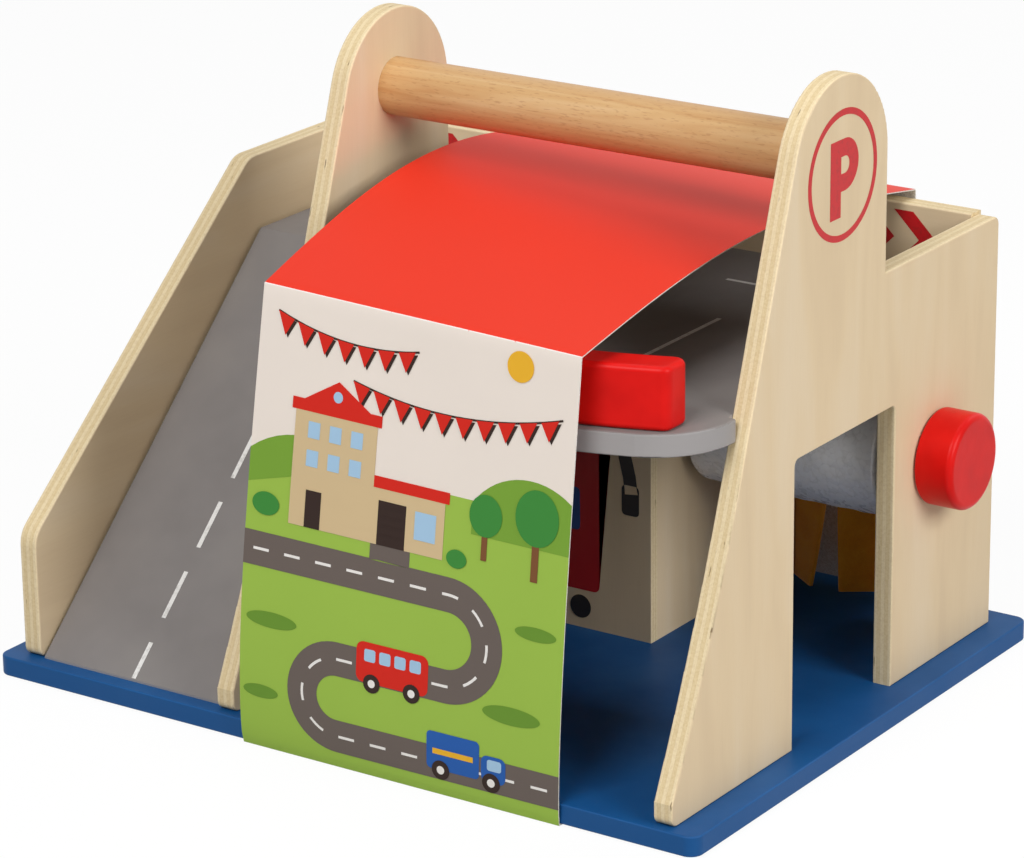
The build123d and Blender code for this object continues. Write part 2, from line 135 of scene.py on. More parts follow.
# ---- materials
def linear(hex_colour):
    """An sRGB hex colour as linear RGBA."""
    channels = [int(hex_colour[i:i + 2], 16) / 255 for i in (1, 3, 5)]
    return tuple(c / 12.92 if c <= 0.04045 else ((c + 0.055) / 1.055) ** 2.4 for c in channels) + (1.0,)


def stretched(axis, along, across):
    """A pattern scale that differs along one axis."""
    return tuple(along if name == axis else across for name in "XYZ")


# sockets of a Mix node that share a name with others
VALUE_A, VALUE_B = 2, 3
COLOUR_A, COLOUR_B = 6, 7
MIXED = 2


def add(tree, kind, inputs=None, stops=None, **settings):
    """Add a node; an input takes a value or another node's socket, and stops fill a colour ramp."""
    made = tree.nodes.new(kind)
    for name, value in settings.items():
        setattr(made, name, value)
    for name, value in (inputs or {}).items():
        if isinstance(value, bpy.types.NodeSocket):
            tree.links.new(value, made.inputs[name])
        else:
            made.inputs[name].default_value = value
    if stops:
        elements = made.color_ramp.elements
        while len(elements) < len(stops):
            elements.new(0.5)
        for element, (position, colour) in zip(elements, stops):
            element.position = position
            element.color = linear(colour) if isinstance(colour, str) else (colour, colour, colour, 1)
    return made


def new_material(name):
    """An empty node material with its shader and output, joined, and its Object coordinates."""
    material = bpy.data.materials.new(name)
    material.use_nodes = True
    tree = material.node_tree
    tree.nodes.clear()
    shader = add(tree, "ShaderNodeBsdfPrincipled")
    add(tree, "ShaderNodeOutputMaterial", {"Surface": shader.outputs["BSDF"]})
    return material, tree, shader, add(tree, "ShaderNodeTexCoord").outputs["Object"]


def birch_plywood(name, thickness_axis, start, thickness, grain_axis, face="#E1CAA6", plies=5):
    """Sanded birch plywood under a thin matt varnish: a pale, faintly mottled rotary-cut face, and
    on the edges its plies, which show by turns as smooth long grain and as rougher end grain."""
    material, tree, shader, place = new_material(name)
    split = add(tree, "ShaderNodeSeparateXYZ", {0: place})

    # face: long soft clouds of a rotary-cut veneer, 12 mm wide, and pores 0.5 mm wide
    along = stretched(grain_axis, 7.0, 40.0)
    fine = stretched(grain_axis, 42.0, 1200.0)
    clouds_place = add(tree, "ShaderNodeMapping", {"Vector": place, "Scale": along})
    clouds = add(tree, "ShaderNodeTexNoise", {
        "Vector": clouds_place.outputs[0], "Scale": 1.0, "Detail": 2.0, "Roughness": 0.4, "Distortion": 0.8,
    })
    pores_place = add(tree, "ShaderNodeMapping", {"Vector": place, "Scale": fine})
    pores = add(tree, "ShaderNodeTexNoise", {
        "Vector": pores_place.outputs[0], "Scale": 1.0, "Detail": 2.0, "Roughness": 0.6,
    })
    cloud_colour = add(tree, "ShaderNodeValToRGB", {"Fac": clouds.outputs["Fac"]}, stops=[
        (0.25, "#DAC29F"), (0.5, face), (0.75, "#E4D0B1"),
    ])
    pore_colour = add(tree, "ShaderNodeValToRGB", {"Fac": pores.outputs["Fac"]}, stops=[
        (0.3, "#D8C6A8"), (0.55, "#FFFFFF"),
    ])
    face_colour = add(tree, "ShaderNodeMix", {
        "Factor": 0.05, COLOUR_A: cloud_colour.outputs["Color"], COLOUR_B: pore_colour.outputs["Color"],
    }, data_type="RGBA", blend_type="MULTIPLY")

    # edge: share of the way through the board, made slightly wavy
    wave = add(tree, "ShaderNodeTexNoise", {
        "Vector": place, "Scale": 30.0, "Detail": 2.0,
    })
    depth = split.outputs[thickness_axis]
    share = add(tree, "ShaderNodeMath", {0: depth, 1: start}, operation="SUBTRACT")
    share = add(tree, "ShaderNodeMath", {0: share.outputs[0], 1: thickness}, operation="DIVIDE")
    shift = add(tree, "ShaderNodeMath", {0: wave.outputs["Fac"], 1: 0.06, 2: -0.03}, operation="MULTIPLY_ADD")
    share = add(tree, "ShaderNodeMath", {0: share.outputs[0], 1: shift.outputs[0]}, operation="ADD")
    layer = add(tree, "ShaderNodeMath", {0: share.outputs[0], 1: float(plies)}, operation="MULTIPLY")
    odd = add(tree, "ShaderNodeMath", {0: layer.outputs[0], 1: 2.0}, operation="MODULO")
    ply_colour = add(tree, "ShaderNodeValToRGB", {"Fac": add(
        tree, "ShaderNodeMath", {0: odd.outputs[0], 1: 2.0}, operation="DIVIDE").outputs[0]}, stops=[
        (0.0, "#D8C096"), (0.02, "#EAD8B3"), (0.48, "#E9D6AF"), (0.5, "#CDB283"), (0.53, "#E2CDA2"),
        (0.97, "#E0CA9E"), (1.0, "#D8C096"),
    ])
    # end grain is speckled, with a few small voids in the plies
    speckle = add(tree, "ShaderNodeTexNoise", {
        "Vector": place, "Scale": 900.0, "Detail": 2.0, "Roughness": 0.7,
    })
    speckle_colour = add(tree, "ShaderNodeValToRGB", {"Fac": speckle.outputs["Fac"]}, stops=[
        (0.3, "#C8B08A"), (0.6, "#FFFFFF"),
    ])
    flaw_stretch = stretched(thickness_axis, 520.0, 75.0)
    flaw_place = add(tree, "ShaderNodeMapping", {"Vector": place, "Scale": flaw_stretch})
    flaw = add(tree, "ShaderNodeTexNoise", {"Vector": flaw_place.outputs[0], "Scale": 1.0, "Detail": 3.0})
    flaw_mask = add(tree, "ShaderNodeValToRGB", {"Fac": flaw.outputs["Fac"]}, stops=[(0.69, 0.0), (0.74, 0.8)])
    edge_colour = add(tree, "ShaderNodeMix", {
        "Factor": 0.25, COLOUR_A: ply_colour.outputs["Color"], COLOUR_B: speckle_colour.outputs["Color"],
    }, data_type="RGBA", blend_type="MULTIPLY")
    edge_colour = add(tree, "ShaderNodeMix", {
        "Factor": flaw_mask.outputs["Color"], COLOUR_A: edge_colour.outputs[MIXED], COLOUR_B: linear("#6E4F30"),
    }, data_type="RGBA")

    # faces look along the thickness, edges across it
    facing = add(tree, "ShaderNodeSeparateXYZ", {0: add(tree, "ShaderNodeTexCoord").outputs["Normal"]})
    facing = add(tree, "ShaderNodeMath", {0: facing.outputs[thickness_axis]}, operation="ABSOLUTE")
    is_face = add(tree, "ShaderNodeValToRGB", {"Fac": facing.outputs[0]}, stops=[(0.55, 0.0), (0.9, 1.0)])
    colour = add(tree, "ShaderNodeMix", {
        "Factor": is_face.outputs["Color"],
        COLOUR_A: edge_colour.outputs[MIXED], COLOUR_B: face_colour.outputs[MIXED],
    }, data_type="RGBA")
    tree.links.new(colour.outputs[MIXED], shader.inputs["Base Color"])
    rough = add(tree, "ShaderNodeValToRGB", {"Fac": pores.outputs["Fac"]}, stops=[(0.3, 0.6), (0.7, 0.56)])
    tree.links.new(rough.outputs["Color"], shader.inputs["Roughness"])
    height = add(tree, "ShaderNodeMix", {
        "Factor": is_face.outputs["Color"], VALUE_A: speckle.outputs["Fac"], VALUE_B: pores.outputs["Fac"],
    })
    bump = add(tree, "ShaderNodeBump", {"Height": height.outputs[0], "Strength": 0.05, "Distance": 0.3 * MM})
    tree.links.new(bump.outputs[0], shader.inputs["Normal"])
    shader.inputs["IOR"].default_value = 1.45
    shader.inputs["Specular IOR Level"].default_value = 0.25
    return material


def turned_beech(name, rod_low, rod_high):
    """Turned beech rod under clear satin varnish: warm, with long darker streaks and short flecks."""
    material, tree, shader, place = new_material(name)
    centre = (rod_low + rod_high) / 2
    streak_place = add(tree, "ShaderNodeMapping", {
        "Vector": place, "Location": (0.0, -centre.y * 150, -centre.z * 150),
        "Scale": (7.0, 150.0, 150.0),
    })
    streak = add(tree, "ShaderNodeTexNoise", {
        "Vector": streak_place.outputs[0], "Scale": 1.0, "Detail": 4.0, "Roughness": 0.55, "Distortion": 1.2,
    })
    colour = add(tree, "ShaderNodeValToRGB", {"Fac": streak.outputs["Fac"]}, stops=[
        (0.25, "#B98653"), (0.45, "#C79C68"), (0.6, "#CEA775"), (0.8, "#D5B388"),
    ])
    # medullary flecks, 2 mm long and 0.3 mm wide
    fleck_place = add(tree, "ShaderNodeMapping", {"Vector": place, "Scale": stretched("X", 260.0, 1500.0)})
    fleck = add(tree, "ShaderNodeTexNoise", {"Vector": fleck_place.outputs[0], "Scale": 1.0, "Detail": 1.0})
    fleck_mask = add(tree, "ShaderNodeValToRGB", {"Fac": fleck.outputs["Fac"]}, stops=[(0.60, 0.0), (0.70, 0.35)])
    flecked = add(tree, "ShaderNodeMix", {
        "Factor": fleck_mask.outputs["Color"], COLOUR_A: colour.outputs["Color"], COLOUR_B: linear("#9C683A"),
    }, data_type="RGBA")
    tree.links.new(flecked.outputs[MIXED], shader.inputs["Base Color"])
    bump = add(tree, "ShaderNodeBump", {"Height": fleck.outputs["Fac"], "Strength": 0.08, "Distance": 0.2 * MM})
    tree.links.new(bump.outputs[0], shader.inputs["Normal"])
    shader.inputs["Roughness"].default_value = 0.42
    shader.inputs["Specular IOR Level"].default_value = 0.4
    return material


def painted_board(name, dark, main, light, roughness, grain_axis="X", edge=None):
    """Acrylic paint rolled on plywood: even colour with faint clouds, an orange-peel skin and the
    grain telegraphing through the coat; an edge colour, if given, is a painted highlight: upright
    sides come out paler than the tops, as where the sides catch the lamps and the tops lie in shade."""
    material, tree, shader, place = new_material(name)
    clouds = add(tree, "ShaderNodeTexNoise", {
        "Vector": place, "Scale": 22.0, "Detail": 3.0, "Roughness": 0.55,
    })
    colour = add(tree, "ShaderNodeValToRGB", {"Fac": clouds.outputs["Fac"]}, stops=[
        (0.3, dark), (0.5, main), (0.7, light),
    ])
    # painted highlight: faces that stand upright take the edge colour, paler than the tops as if the lamps lit them
    # more
    facing = add(tree, "ShaderNodeSeparateXYZ", {0: add(tree, "ShaderNodeTexCoord").outputs["Normal"]})
    facing = add(tree, "ShaderNodeMath", {0: facing.outputs["Z"]}, operation="ABSOLUTE")
    painted_highlight_sides_mask = add(tree, "ShaderNodeValToRGB", {"Fac": facing.outputs[0]}, stops=[(0.3, 1.0), (0.6, 0.0)])
    colour = add(tree, "ShaderNodeMix", {
        "Factor": painted_highlight_sides_mask.outputs["Color"], COLOUR_A: colour.outputs["Color"], COLOUR_B: linear(edge or main),
    }, data_type="RGBA")
    tree.links.new(colour.outputs[MIXED], shader.inputs["Base Color"])
    stretch = stretched(grain_axis, 40.0, 700.0)
    grain_place = add(tree, "ShaderNodeMapping", {"Vector": place, "Scale": stretch})
    grain = add(tree, "ShaderNodeTexNoise", {"Vector": grain_place.outputs[0], "Scale": 1.0, "Detail": 2.0})
    peel = add(tree, "ShaderNodeTexNoise", {"Vector": place, "Scale": 900.0, "Detail": 1.0})
    height = add(tree, "ShaderNodeMix", {"Factor": 0.35, VALUE_A: grain.outputs["Fac"], VALUE_B: peel.outputs["Fac"]})
    bump = add(tree, "ShaderNodeBump", {"Height": height.outputs[0], "Strength": 0.1, "Distance": 0.25 * MM})
    tree.links.new(bump.outputs[0], shader.inputs["Normal"])
    shade = add(tree, "ShaderNodeValToRGB", {"Fac": clouds.outputs["Fac"]}, stops=[
        (0.3, roughness + 0.06), (0.7, roughness - 0.04),
    ])
    tree.links.new(shade.outputs["Color"], shader.inputs["Roughness"])
    shader.inputs["Specular IOR Level"].default_value = 0.25
    return material


def gloss_lacquer(name, main, deep):
    """Thick red nitro lacquer dipped on turned beech: deep glossy colour with soft dips in its skin,
    a little thinner and darker in patches."""
    material, tree, shader, place = new_material(name)
    clouds = add(tree, "ShaderNodeTexNoise", {"Vector": place, "Scale": 60.0, "Detail": 2.0})
    colour = add(tree, "ShaderNodeValToRGB", {"Fac": clouds.outputs["Fac"]}, stops=[(0.3, deep), (0.65, main)])
    tree.links.new(colour.outputs["Color"], shader.inputs["Base Color"])
    dips = add(tree, "ShaderNodeTexNoise", {"Vector": place, "Scale": 160.0, "Detail": 2.0})
    bump = add(tree, "ShaderNodeBump", {"Height": dips.outputs["Fac"], "Strength": 0.15, "Distance": 0.6 * MM})
    tree.links.new(bump.outputs[0], shader.inputs["Normal"])
    shader.inputs["Roughness"].default_value = 0.36
    shader.inputs["Specular IOR Level"].default_value = 0.14
    return material


def expanded_foam(name):
    """Extruded polyethylene foam: white closed cells about 2.5 mm wide whose thin skins glint."""
    material, tree, shader, place = new_material(name)
    cells = add(tree, "ShaderNodeTexVoronoi", {"Vector": place, "Scale": 420.0})
    # painted shade: the colour darkens towards the cell walls, which the inverted bump sinks into grooves between the
    # bubbles
    colour = add(tree, "ShaderNodeValToRGB", {"Fac": cells.outputs["Distance"]}, stops=[
        (0.0, "#FFFDFB"), (0.6, "#FAF8F6"), (0.95, "#EBE9E6"),
    ])
    tree.links.new(colour.outputs["Color"], shader.inputs["Base Color"])
    skins = add(tree, "ShaderNodeValToRGB", {"Fac": cells.outputs["Color"]}, stops=[(0.2, 0.18), (0.8, 0.5)])
    tree.links.new(skins.outputs["Color"], shader.inputs["Roughness"])
    bump = add(tree, "ShaderNodeBump", {
        "Height": cells.outputs["Distance"], "Strength": 0.18, "Distance": 0.5 * MM,
    }, invert=True)
    tree.links.new(bump.outputs[0], shader.inputs["Normal"])
    shader.inputs["Subsurface Weight"].default_value = 0.5
    shader.inputs["Subsurface Radius"].default_value = (8 * MM, 8 * MM, 8 * MM)
    shader.inputs["Subsurface Scale"].default_value = 1.0
    shader.inputs["Specular IOR Level"].default_value = 1.0
    return material


def pressed_felt(name):
    """Pressed polyester felt, 2 mm thick: a dull mat of short yellow fibres with a soft sheen."""
    material, tree, shader, place = new_material(name)
    mat = add(tree, "ShaderNodeTexNoise", {
        "Vector": place, "Scale": 1400.0, "Detail": 3.0, "Roughness": 0.7, "Distortion": 2.0,
    })
    clouds = add(tree, "ShaderNodeTexNoise", {"Vector": place, "Scale": 90.0, "Detail": 2.0})
    tint = add(tree, "ShaderNodeMix", {"Factor": 0.4, VALUE_A: mat.outputs["Fac"], VALUE_B: clouds.outputs["Fac"]})
    colour = add(tree, "ShaderNodeValToRGB", {"Fac": tint.outputs[0]}, stops=[
        (0.3, "#DA860E"), (0.5, "#F09B14"), (0.7, "#F8B02C"),
    ])
    tree.links.new(colour.outputs["Color"], shader.inputs["Base Color"])
    bump = add(tree, "ShaderNodeBump", {"Height": mat.outputs["Fac"], "Strength": 0.7, "Distance": 0.4 * MM})
    tree.links.new(bump.outputs[0], shader.inputs["Normal"])
    shader.inputs["Roughness"].default_value = 0.95
    shader.inputs["Sheen Weight"].default_value = 0.3
    shader.inputs["Sheen Roughness"].default_value = 0.5
    return material


def printed_card(name, ink, roughness=0.5):
    """Offset-printed coated board, 0.5 mm: even ink under a thin semi-gloss varnish, with the slow
    waves and fine tooth of the paper below."""
    material, tree, shader, place = new_material(name)
    tooth = add(tree, "ShaderNodeTexNoise", {"Vector": place, "Scale": 1500.0, "Detail": 2.0})
    waves = add(tree, "ShaderNodeTexNoise", {"Vector": place, "Scale": 18.0, "Detail": 1.0})
    shade = add(tree, "ShaderNodeValToRGB", {"Fac": waves.outputs["Fac"]}, stops=[(0.2, 0.965), (0.8, 1.0)])
    colour = add(tree, "ShaderNodeMix", {
        "Factor": 1.0, COLOUR_A: linear(ink), COLOUR_B: shade.outputs["Color"],
    }, data_type="RGBA", blend_type="MULTIPLY")
    tree.links.new(colour.outputs[MIXED], shader.inputs["Base Color"])
    height = add(tree, "ShaderNodeMix", {"Factor": 0.75, VALUE_A: tooth.outputs["Fac"], VALUE_B: waves.outputs["Fac"]})
    bump = add(tree, "ShaderNodeBump", {"Height": height.outputs[0], "Strength": 0.12, "Distance": 0.5 * MM})
    tree.links.new(bump.outputs[0], shader.inputs["Normal"])
    shader.inputs["Roughness"].default_value = roughness
    shader.inputs["Specular IOR Level"].default_value = 0.16
    return material


def worn_crease(name, ink):
    """A fold of printed card, where the ink and varnish have cracked off the white board in places."""
    material, tree, shader, place = new_material(name)
    cracks = add(tree, "ShaderNodeTexNoise", {"Vector": place, "Scale": 260.0, "Detail": 3.0})
    colour = add(tree, "ShaderNodeValToRGB", {"Fac": cracks.outputs["Fac"]}, stops=[(0.28, ink), (0.36, "#F3E9E4")])
    tree.links.new(colour.outputs["Color"], shader.inputs["Base Color"])
    shader.inputs["Roughness"].default_value = 0.7
    return material


def bare_pulp(name, tone):
    """Uncoated pulp board, as on a cut edge or the inside of a printed box: matt with grey fibres."""
    material, tree, shader, place = new_material(name)
    fibres = add(tree, "ShaderNodeTexNoise", {
        "Vector": place, "Scale": 800.0, "Detail": 3.0, "Distortion": 1.5,
    })
    colour = add(tree, "ShaderNodeValToRGB", {"Fac": fibres.outputs["Fac"]}, stops=[(0.3, "#CFC8BD"), (0.6, tone)])
    tree.links.new(colour.outputs["Color"], shader.inputs["Base Color"])
    bump = add(tree, "ShaderNodeBump", {"Height": fibres.outputs["Fac"], "Strength": 0.25, "Distance": 0.2 * MM})
    tree.links.new(bump.outputs[0], shader.inputs["Normal"])
    shader.inputs["Roughness"].default_value = 0.9
    return material


def screen_paint(name, main, worn, roughness=0.5):
    """Screen-printed paint on wood: a thin opaque film with slightly uneven cover."""
    material, tree, shader, place = new_material(name)
    cover = add(tree, "ShaderNodeTexNoise", {
        "Vector": place, "Scale": 350.0, "Detail": 4.0, "Roughness": 0.65,
    })
    colour = add(tree, "ShaderNodeValToRGB", {"Fac": cover.outputs["Fac"]}, stops=[(0.32, worn), (0.5, main)])
    tree.links.new(colour.outputs["Color"], shader.inputs["Base Color"])
    bump = add(tree, "ShaderNodeBump", {"Height": cover.outputs["Fac"], "Strength": 0.1, "Distance": 0.1 * MM})
    tree.links.new(bump.outputs[0], shader.inputs["Normal"])
    shader.inputs["Roughness"].default_value = roughness
    return material


# ---- board materials on the CAD nodes
def dress_boards():
    ply = right_high.x - right_low.x
    boards = [
        ("right_panel", "X", right_low.x, ply, "Z"),
        ("left_panel", "X", left_low.x, ply, "Z"),
        ("ramp_wall", "X", ramp_wall_low.x, ply, "Y"),
        ("back_wall", "Y", back_low.y, ply, "X"),
        ("kiosk_front", "Y", kiosk_low.y, kiosk_high.y - kiosk_low.y, "Z"),
        ("kiosk_side", "X", kiosk_side_low.x, ply, "Z"),
        ("curtain_rail", "Y", rail_low.y, rail_high.y - rail_low.y, "X"),
    ]
    for name, axis, start, thickness, grain in boards:
        paint(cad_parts[name], birch_plywood("birch_plywood_" + name, axis, start, thickness, grain))
    beech = turned_beech("varnished_beech_rod", handle_low, handle_high)
    for name in ("carry_handle", "roller_shaft", "base_dowels", "deck_dowels", "sign_dowels"):
        paint(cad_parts[name], beech)
    blue = painted_board("blue_acrylic_on_plywood", "#0B487E", "#0E4D86", "#12538D", 0.5)
    paint(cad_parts["base_board"], blue)
    # the last colour, #9A9695, is a painted highlight on the upright sides of the ramp and deck, paler than their tops
    grey = painted_board("grey_acrylic_on_plywood_with_painted_lit_sides", "#7C7775", "#827D7B", "#87827F", 0.5, "Y", "#9A9695")
    paint(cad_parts["ramp_board"], grey)
    paint(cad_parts["deck_board"], grey)
    red = gloss_lacquer("red_lacquer_on_beech", "#DC140F", "#CE0F0B")
    paint(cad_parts["sign_block"], red)
    paint(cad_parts["wash_knob"], red)
    for name in ("carry_handle", "wash_knob", "sign_block", "roller_shaft"):
        smooth(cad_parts[name], 30)


# ---- printed card band
CARD = 0.5 * MM
BAND_WIDTH = 160.6 * MM
CREASE_GAP = 0.4 * MM           # between two of the CAD panels
FOLD_SKEW = 6.6 * MM            # the left end of the front fold lies this far behind its right end
BELLY = (6.3 * MM, 3.0 * MM)    # how far the front swells forward at its left and its right edge
BELLY_SKEW = 0.65               # the swelling lies lower than half way
CROWN = (27.0 * MM, 15.5 * MM)  # how high the roof arches at its left and its right edge
BAND_COLUMNS = 20
GREEN_ROWS = 24
CREAM_ROWS = 12
ROOF_ROWS = 48
BACK_ROWS = 16
UNDER_ROWS = 6
GREEN_SHARE = 0.6555            # of the height of the front
CREASE_ROUND = 0.35 * MM
RED_INK = "#E33723"


def band_corners(side):
    """Foot, front fold, rear fold and heel of the band's left (0) or right (1) edge."""
    fold_right = Vector((card_roof_low.x + BAND_WIDTH, card_roof_low.y - CREASE_GAP, card_roof_low.z + CARD))
    fold_left = Vector((card_roof_low.x, fold_right.y + FOLD_SKEW, card_front_high.z + CREASE_GAP))
    rear_z = card_back_high.z + CREASE_GAP + CARD
    foot = Vector((card_front_low.x + side * BAND_WIDTH, card_under_low.y, 0.0))
    rear = Vector((card_back_low.x + side * BAND_WIDTH, card_roof_high.y, rear_z))
    heel = Vector((card_back_low.x + side * BAND_WIDTH, card_under_high.y, 0.0))
    return foot, (fold_left, fold_right)[side], rear, heel


def edge_point(side, panel, share):
    """A point on the left or right edge of one panel of the band, on its printed side."""
    foot, fold, rear, heel = band_corners(side)
    if panel == "front":
        swell = BELLY[side] * math.sin(math.pi * share ** BELLY_SKEW)
        return foot.lerp(fold, share) - Vector((0, swell, 0))
    if panel == "roof":
        return fold.lerp(rear, share) + Vector((0, 0, CROWN[side] * math.sin(math.pi * share)))
    if panel == "back":
        return rear.lerp(heel, share)
    return heel.lerp(foot, share)


def card_point(panel, across, share):
    """A point of the printed side: across goes from the left edge, 0, to the right one, 1."""
    return edge_point(0, panel, share).lerp(edge_point(1, panel, share), across)


def band_rows():
    """The rows of the closed band from the foot of the front all round, each with its panel and share."""
    rows = [("front", GREEN_SHARE * i / GREEN_ROWS) for i in range(GREEN_ROWS)]
    rows += [("front", between(GREEN_SHARE, 1.0, i / CREAM_ROWS)) for i in range(CREAM_ROWS)]
    rows += [("roof", i / ROOF_ROWS) for i in range(ROOF_ROWS)]
    rows += [("back", i / BACK_ROWS) for i in range(BACK_ROWS)]
    rows += [("under", i / UNDER_ROWS) for i in range(UNDER_ROWS + 1)]
    return rows


def make_card_band():
    """One strip of card, wrapped once round the toy, creased at its four folds and glued to a loop."""
    rows = band_rows()
    deselect_all()
    bpy.ops.mesh.primitive_grid_add(x_subdivisions=BAND_COLUMNS, y_subdivisions=len(rows) - 1, size=1.0)
    band = bpy.context.object
    band.name = "printed_card_band"
    paint(
        band,
        printed_card("red_offset_print_on_card", RED_INK),
        printed_card("cream_offset_print_on_card", "#F3E7DC"),
        printed_card("green_offset_print_on_card", "#9FC14E"),
        worn_crease("worn_crease_of_printed_card", RED_INK),
        bare_pulp("bare_pulp_board", "#EDEAE4"),
    )
    red, cream, green, worn, pulp = range(5)
    mesh = edit(band)
    for face in mesh.faces:
        row = min(round((v.co.y + 0.5) * (len(rows) - 1)) for v in face.verts)
        panel, share = rows[row]
        if panel == "roof":
            face.material_index = red
        elif panel == "front":
            face.material_index = green if row < GREEN_ROWS else cream
        else:
            back_green = panel == "under" or share > 1 - GREEN_SHARE
            face.material_index = green if back_green else cream
    for vertex in mesh.verts:
        row = round((vertex.co.y + 0.5) * (len(rows) - 1))
        across = round((vertex.co.x + 0.5) * BAND_COLUMNS) / BAND_COLUMNS
        vertex.co = card_point(rows[row][0], across, rows[row][1])
    bmesh.update_edit_mesh(band.data)
    select_all()
    bpy.ops.mesh.remove_doubles(threshold=0.01 * MM)
    bpy.ops.mesh.normals_make_consistent(inside=False)
    for folded, material in ((("front", "roof"), worn), (("roof", "back"), worn), (("back", "under", "front"), -1)):
        crease_band(band, folded, material)
    leave_edit(band)
    card = band.modifiers.new("card", "SOLIDIFY")
    card.thickness = CARD
    card.offset = -1
    card.use_even_offset = True
    card.material_offset = pulp
    card.material_offset_rim = pulp
    apply_modifiers(band)
    smooth(band, 25)
    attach(band, "garage")
    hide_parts("sleeve_front", "sleeve_roof", "sleeve_back", "sleeve_underside")


def crease_band(band, folded, material):
    """Round the creases that start a panel after the first of the folded ones."""
    bpy.ops.mesh.select_mode(type="EDGE")
    bpy.ops.mesh.select_all(action="DESELECT")
    mesh = bmesh.from_edit_mesh(band.data)
    for edge in mesh.edges:
        for panel in folded[1:]:
            on_crease = True
            for vertex in edge.verts:
                across = nearest_across(panel, vertex.co)
                if (card_point(panel, across, 0.0) - vertex.co).length > 0.05 * MM:
                    on_crease = False
            if on_crease:
                edge.select_set(True)
    mesh.select_flush(True)
    bpy.ops.mesh.bevel(offset=CREASE_ROUND, segments=3, affect="EDGES", material=material)


def nearest_across(panel, place):
    left = edge_point(0, panel, 0.0)
    right = edge_point(1, panel, 0.0)
    return (place - left).dot(right - left) / (right - left).length_squared


# ---- printed and painted pictures
INK = 0.03                      # mm, thickness of one printed layer
STRIP = 6.0                     # mm, the curved front is followed in strips of this height


def ring(x, y, rx, ry=None, points=32, start=0.0):
    """A closed round or, with few points, angular outline in mm."""
    ry = ry or rx
    return [(x + rx * math.cos(start + math.tau * i / points), y + ry * math.sin(start + math.tau * i / points))
            for i in range(points)]


def block(x0, y0, x1, y1):
    return [(x0, y0), (x1, y0), (x1, y1), (x0, y1)]


def rounded(x0, y0, x1, y1, r, steps=5):
    """A block with round corners."""
    corners = [(x1 - r, y1 - r, 0), (x0 + r, y1 - r, 1), (x0 + r, y0 + r, 2), (x1 - r, y0 + r, 3)]
    return [
        (x + r * math.cos(turn * math.pi / 2), y + r * math.sin(turn * math.pi / 2))
        for x, y, quarter in corners for turn in [quarter + i / steps for i in range(steps + 1)]
    ]


def on_front(a, b, lift):
    """A place on the band's front, a mm from its left edge, b mm up from its foot, lift mm in front."""
    foot, fold, _, _ = band_corners(0)
    height = (fold - foot).length / MM
    share = b / height
    across = a / (BAND_WIDTH / MM)
    place = card_point("front", across, share)
    along = card_point("front", across + 0.01, share) - place
    up = card_point("front", across, share + 0.01) - place
    return place + along.cross(up).normalized() * lift * MM


def on_plane(origin, right, up):
    """A place finder for a flat face: mm to the right, mm up and mm in front of the origin."""
    right = Vector(right).normalized()
    up = Vector(up).normalized()
    out = right.cross(up)
    return lambda a, b, lift: Vector(origin) + (right * a + up * b + out * lift) * MM


def print_shapes(name, rings, material, place, layer=1, curved=False):
    """Print flat shapes on a face: rings inside a ring are holes, and a higher layer lies on a lower one."""
    deselect_all()
    curve = bpy.data.curves.new(name, "CURVE")
    curve.dimensions = "2D"
    curve.fill_mode = "BOTH"
    curve.extrude = INK / 2
    for points in rings:
        spline = curve.splines.new("POLY")
        spline.points.add(len(points) - 1)
        for point, (x, y) in zip(spline.points, points):
            point.co = (x, y, 0, 1)
        spline.use_cyclic_u = True
    made = bpy.data.objects.new(name, curve)
    bpy.context.scene.collection.objects.link(made)
    choose(made)
    bpy.ops.object.convert(target="MESH")
    made = bpy.context.object
    edit(made)
    select_all()
    bpy.ops.mesh.remove_doubles(threshold=0.001)
    if curved:
        heights = [v.co.y for v in bmesh.from_edit_mesh(made.data).verts]
        level = math.ceil(min(heights) / STRIP + 0.01) * STRIP
        while level < max(heights):
            select_all()
            bpy.ops.mesh.bisect(plane_co=(0, level, 0), plane_no=(0, 1, 0))
            level += STRIP
    select_all()
    bpy.ops.mesh.normals_make_consistent(inside=False)
    mesh = bmesh.from_edit_mesh(made.data)
    for vertex in mesh.verts:
        vertex.co = place(vertex.co.x, vertex.co.y, vertex.co.z + INK * (layer + 0.5) + INK * layer)
    bmesh.update_edit_mesh(made.data)
    leave_edit(made)
    paint(made, material)
    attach(made, "garage")


# ---- the picture on the card: a country road with a town house, trees, a bus and a truck
PICTURE_WIDTH = BAND_WIDTH / MM
ROAD_HALF = 7.5
INKS = {
    "moss": "#7BA43A", "asphalt": "#6C615B", "white": "#F4EFEA", "sand": "#D8BE93", "red": "#D92A1E",
    "ink": "#33241F", "blue": "#2A5FAE", "yellow": "#F0B632", "leaf": "#3F8A3C", "bark": "#7E5232",
    "sky": "#A9CBE6", "shade": "#6C9534",
}


def arc_points(x, y, radius, start, end, step=6.0):
    """Points of an arc, its angles in degrees, from start to end."""
    count = max(2, round(abs(end - start) / step))
    angles = [math.radians(between(start, end, i / count)) for i in range(count + 1)]
    return [(x + radius * math.cos(a), y + radius * math.sin(a)) for a in angles]


def road_centre():
    """The road comes in at the left, turns back twice and leaves at the right, near the foot."""
    return (
        [(0.0, 90.0), (34.0, 90.0), (68.0, 90.0)]
        + arc_points(104.0, 70.0, 20.0, 90.0, -90.0)
        + [(90.0, 50.0), (70.0, 50.0)]
        + arc_points(50.0, 32.5, 17.5, 90.0, 270.0)
        + [(90.0, 15.0), (130.0, 15.0), (PICTURE_WIDTH, 15.0)]
    )


